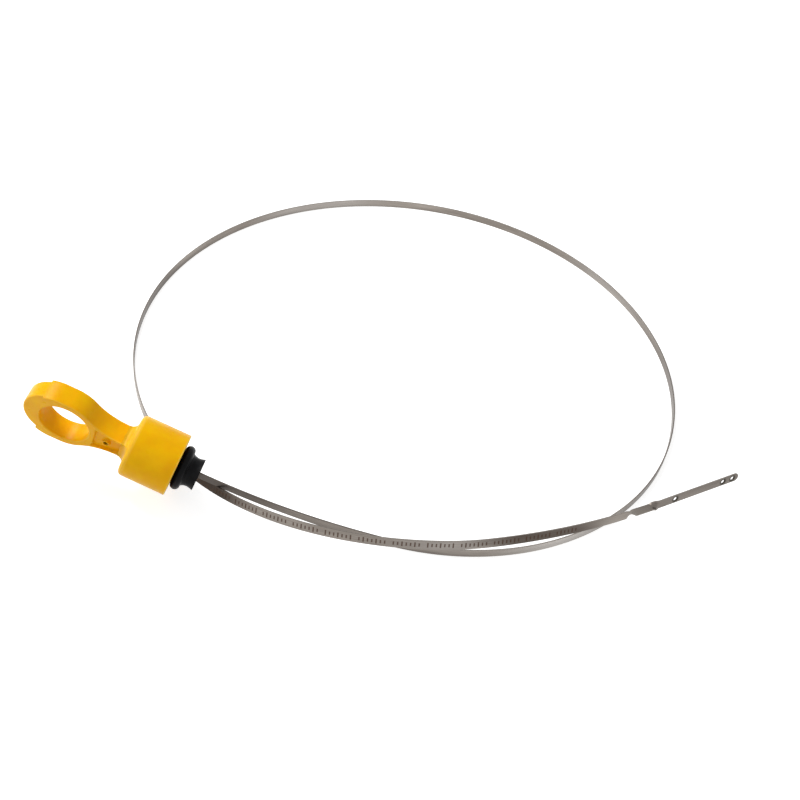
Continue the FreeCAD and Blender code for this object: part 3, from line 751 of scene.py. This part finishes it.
def yellow_plastic():
    """Satin yellow moulding: faint flow clouds and fine grain, with painted highlights where its edges
    turn.

    The neck's pocket has painted shade in a deeper tone, and the locating hole is darkened with painted
    shade.
    """
    finish = Finish("yellow_moulding")
    place = finish.place()
    clouds = finish.noise(place, 90.0, detail=4.0, roughness=0.6)
    grain = finish.noise(place, 2600.0, detail=2.0)
    scuffs = finish.noise(place, 420.0, detail=5.0, roughness=0.65)
    _, shade_or_highlight, pocket = finish.values("moulding")
    clouded = finish.range(clouds, (0.35, 0.65), WHOLE)
    body = finish.blend(clouded, colour(YELLOW_DEEP), colour(YELLOW_BRIGHT))
    edge_highlight = finish.range(shade_or_highlight, (-1.0, 0.0), (1.0, 0.0))
    # Painted highlight on the turned edges
    body = finish.blend(edge_highlight, body, colour(YELLOW_HIGHLIGHT))
    # Painted shade in the neck's pocket
    body = finish.blend(finish.range(pocket, WHOLE, (0.0, 0.3)), body, colour(YELLOW_SHADED))
    # Painted shade in the locating hole
    body = finish.blend(finish.range(shade_or_highlight, WHOLE, WHOLE), body, colour(LOCATING_HOLE_SHADE))
    finish.set(finish.surface, Base_Color=body, Roughness=finish.range(scuffs, NOISE_SPAN, (0.26, 0.36)),
               Normal=finish.bump(grain, strength=0.12, distance=0.0001), Specular_IOR_Level=0.09,
               Subsurface_Weight=0.3, Subsurface_Radius=(1.0, 0.35, 0.02), Subsurface_Scale=0.002)
    return finish.material


def black_rubber():
    """Moulded rubber: near black, with a bloom of dust in its colour and a soft grain."""
    finish = Finish("stopper_rubber")
    place = finish.place()
    bloom = finish.noise(place, 260.0, detail=4.0, roughness=0.6)
    grain = finish.noise(place, 1900.0, detail=3.0)
    dusted = finish.range(bloom, (0.4, 0.7), WHOLE)
    body = finish.blend(dusted, colour(RUBBER_BLACK), colour(RUBBER_BLOOM))
    finish.set(finish.surface, Base_Color=body, Roughness=finish.range(bloom, NOISE_SPAN, (0.3, 0.45)),
               Normal=finish.bump(grain, strength=0.2, distance=0.0002), Specular_IOR_Level=0.07)
    return finish.material


def laid_over(finish, body, along, stretches, ease, tint):
    """The body's colour with a tint over each stretch of the strip, at the stretch's strength."""
    for start, end, strength in stretches:
        cover = finish.band(along, start * MM, end * MM, ease * MM, strength)
        body = finish.blend(cover, body, colour(tint))
    return body


def etched_scale(finish, along, across):
    """Strength of the etched scale: a row of short strokes with taller ones between, in groups."""
    off_middle = finish.math("ABSOLUTE", across)

    def filled(pitch, share):
        repeats = finish.math("DIVIDE", along, pitch * MM)
        return finish.math("LESS_THAN", finish.math("FRACT", repeats), share)

    def strokes(pitch, share, half):
        within = finish.math("LESS_THAN", off_middle, half * MM)
        return finish.math("MULTIPLY", filled(pitch, share), within)

    inside = finish.band(along, SCALE_FROM * MM, SCALE_TO * MM, SCALE_EASE * MM, SCALE_STRENGTH)
    grouped = finish.math("MULTIPLY", inside, filled(GROUP_PITCH, GROUP_SHARE))
    short = strokes(SHORT_PITCH, SHORT_SHARE, SHORT_HALF)
    tall = strokes(TALL_PITCH, TALL_SHARE, TALL_HALF)
    return finish.math("MULTIPLY", grouped, finish.math("MAXIMUM", short, tall))


def brushed_steel(name, shaded_stretches, shining_stretches, marked):
    """Spring steel brushed along the strip, with painted reflections in slow swells of tone that lean
    from edge to edge.

    Shaded stretches carry painted shade and dark reflections, and shining ones painted highlights and
    bright reflections.  The level holes have a ring of painted shade round them.  The marked face has
    the etched scale, which is rougher.
    """
    finish = Finish(name)
    strip, along, across = finish.values("strip")

    lines = finish.stretched_noise(strip, 60.0, 4200.0, detail=4.0, roughness=0.6)
    # Painted reflections: slow swells of tone along the strip, and a lean of tone from edge to edge
    reflection_swell = finish.stretched_noise(strip, 11.0, 0.0, detail=2.0, roughness=0.6)
    reflection_tilt = finish.stretched_noise(strip, 17.0, 0.0, detail=2.0, roughness=0.6)
    reflection_swell = finish.range(reflection_swell, NOISE_SPAN, (-1.0, 1.0))
    reflection_tilt = finish.range(reflection_tilt, NOISE_SPAN, (-1.0, 1.0))
    reflection_lean = finish.math("MULTIPLY", reflection_tilt, finish.math("DIVIDE", across, STRIP_WIDTH / 2 * MM))
    tone = finish.range(lines, NOISE_SPAN, (0.1, 0.75))
    tone = finish.math("ADD", tone, finish.math("MULTIPLY", reflection_swell, 0.28))
    tone = finish.math("ADD", tone, finish.math("MULTIPLY", reflection_lean, 0.3))
    body = finish.blend(tone, colour(STEEL_DARK), colour(STEEL_LIGHT))
    # Painted highlights and bright reflections on the shining stretches
    body = laid_over(finish, body, along, shining_stretches, SHINE_EASE, STEEL_PAINTED_SHINE)
    # Painted shade and dark reflections on the shaded stretches
    body = laid_over(finish, body, along, shaded_stretches, SHADE_EASE, STEEL_PAINTED_SHADE)
    rough = finish.range(lines, NOISE_SPAN, (0.26, 0.42))

    if marked:
        etched = etched_scale(finish, along, across)
        body = finish.blend(etched, body, colour(ETCHED_BROWN))
        rough = finish.math("ADD", rough, finish.math("MULTIPLY", etched, 0.2))

    plate_start = strip_route()[3][-1]
    across_squared = finish.math("POWER", across, 2.0)
    for inset in LEVEL_HOLE_INSETS:
        ahead = finish.math("SUBTRACT", along, (plate_start + TIP - inset) * MM)
        squares = finish.math("ADD", finish.math("POWER", ahead, 2.0), across_squared)
        from_hole = finish.math("SQRT", squares)
        # Painted shade in a ring round each level hole
        shade_ring = finish.range(from_hole, (SHADE_RING_FULL * MM, SHADE_RING_END * MM), (SHADE_RING_STRENGTH, 0.0))
        body = finish.blend(shade_ring, body, colour(HOLE_SHADE_RING))

    finish.set(finish.surface, Base_Color=body, Metallic=1.0, Roughness=rough,
               Normal=finish.bump(lines, strength=0.15, distance=0.00005))
    return finish.material


def sheared_edge(shaded_stretches):
    """The strip's sheared edges: dull steel with a cross grain, with painted shade in the holes and on
    the shaded stretches.
    """
    finish = Finish("strip_sheared_edge")
    strip, along, across = finish.values("strip")
    grain = finish.stretched_noise(strip, 1800.0, 400.0, detail=3.0, roughness=0.5)
    body = finish.blend(finish.range(grain, NOISE_SPAN, WHOLE), colour(EDGE_DARK), colour(EDGE_LIGHT))
    off_middle = finish.math("ABSOLUTE", across)
    # Painted shade on the walls of the level holes
    hole_wall_shade = finish.range(off_middle, (WALL_SHADE_FULL * MM, WALL_SHADE_END * MM), (WALL_SHADE_STRENGTH, 0.0))
    body = finish.blend(hole_wall_shade, body, colour(HOLE_WALL_SHADE))
    # Painted shade and dark reflections on the edges of the shaded stretches
    body = laid_over(finish, body, along, shaded_stretches, SHADE_EASE, STEEL_PAINTED_SHADE)
    finish.set(finish.surface, Base_Color=body, Metallic=1.0,
               Roughness=finish.range(grain, NOISE_SPAN, (0.42, 0.6)),
               Normal=finish.bump(grain, strength=0.2, distance=0.00005))
    return finish.material


def seen_rays(tree):
    """1 for what the camera sees straight, mirrored or through glass, and 0 for light on its way."""
    rays = tree.nodes.new("ShaderNodeLightPath")
    seen = rays.outputs["Is Camera Ray"]
    for kind in ("Is Glossy Ray", "Is Transmission Ray"):
        either = tree.nodes.new("ShaderNodeMath")
        either.operation = "MAXIMUM"
        tree.links.new(seen, either.inputs[0])
        tree.links.new(rays.outputs[kind], either.inputs[1])
        seen = either.outputs[0]
    return seen


def make_floor():
    """A wide white table: it glows to the eye and in reflections, and is plain white to other light."""
    finish = Finish("white_table")
    plain = finish.set(finish.surface, Base_Color=TABLE_COLOUR, Roughness=0.9, Specular_IOR_Level=0.1)
    glow = finish.set(finish.node("ShaderNodeEmission"), Color=WHITE, Strength=TABLE_GLOW)
    both = finish.node("ShaderNodeAddShader")
    pick = finish.node("ShaderNodeMixShader")
    for socket, output in zip(both.inputs, (plain.outputs[0], glow.outputs[0])):
        finish.feed(socket, output)
    for socket, output in zip(pick.inputs, (seen_rays(finish.tree), plain.outputs[0], both.outputs[0])):
        finish.feed(socket, output)
    finish.set(finish.tree.nodes["Material Output"], Surface=pick.outputs[0])
    mesh = bpy.data.meshes.new("table")
    half = TABLE_HALF
    mesh.from_pydata([(-half, -half, 0), (half, -half, 0), (half, half, 0), (-half, half, 0)],
                     [], [(0, 1, 2, 3)])
    mesh.materials.append(finish.material)
    table = bpy.data.objects.new("table", mesh)
    bpy.context.scene.collection.objects.link(table)


def make_world():
    """Plain white surroundings: white to the eye and in reflections, softer as light."""
    world = bpy.data.worlds.new("studio")
    bpy.context.scene.world = world
    world.use_nodes = True
    tree = world.node_tree
    back = tree.nodes["Background"]
    back.inputs["Color"].default_value = WHITE
    level = tree.nodes.new("ShaderNodeMapRange")
    level.inputs["To Min"].default_value = SURROUND_LIGHT
    level.inputs["To Max"].default_value = SURROUND_SEEN
    tree.links.new(seen_rays(tree), level.inputs["Value"])
    tree.links.new(level.outputs["Result"], back.inputs["Strength"])


def make_lamp(name, place, size, power):
    """A square soft lamp at a place, turned to the part."""
    data = bpy.data.lights.new(name, "AREA")
    data.size = size
    data.energy = power
    lamp = bpy.data.objects.new(name, data)
    lamp.location = place
    lamp.rotation_euler = (-Vector(place)).to_track_quat("-Z", "Y").to_euler()
    bpy.context.scene.collection.objects.link(lamp)


def make_camera():
    """The photograph's view: along +Y and down, rolled, at a point in front of the coil's centre."""
    down, roll = math.radians(CAMERA_DOWN), math.radians(CAMERA_ROLL)
    ahead = np.array([0.0, math.cos(down), -math.sin(down)])
    level = np.array([1.0, 0.0, 0.0])
    rise = np.cross(level, ahead)
    right = math.cos(roll) * level + math.sin(roll) * rise
    over = math.cos(roll) * rise - math.sin(roll) * level
    data = bpy.data.cameras.new("camera")
    data.sensor_width = SENSOR_WIDTH
    data.lens = SENSOR_WIDTH / 2 / math.tan(math.radians(CAMERA_VIEW / 2))
    data.clip_start = CLIP_START * MM
    camera = bpy.data.objects.new("camera", data)
    turn = np.eye(4)
    turn[:3, :3] = np.column_stack([right, over, -ahead])
    turn[:3, 3] = (COIL_CENTRE + CAMERA_LOOK - CAMERA_DISTANCE * ahead) * MM
    camera.matrix_world = Matrix(turn.tolist())
    bpy.context.scene.collection.objects.link(camera)
    bpy.context.scene.camera = camera


plastic = yellow_plastic()
make_piece("handle_cup", "handle", [cup_shell()], "moulding", [plastic])
make_piece("handle_ring", "handle", [ring_shell(), collar_shell()], "moulding", [plastic])
make_piece("seal_stopper", "seal", [stopper_shell()], "moulding", [black_rubber()])
make_strip([
    brushed_steel("strip_marked_face", OUTER_SHADE, OUTER_SHINE, True),
    brushed_steel("strip_plain_face", INNER_SHADE, INNER_SHINE, False),
    sheared_edge(EDGE_SHADE),
])

make_floor()
make_world()
make_lamp("key", KEY_PLACE, KEY_SIZE, KEY_POWER)
make_lamp("fill", FILL_PLACE, FILL_SIZE, FILL_POWER)
make_camera()
bpy.context.scene.view_settings.view_transform = "Standard"

bpy.context.view_layer.update()
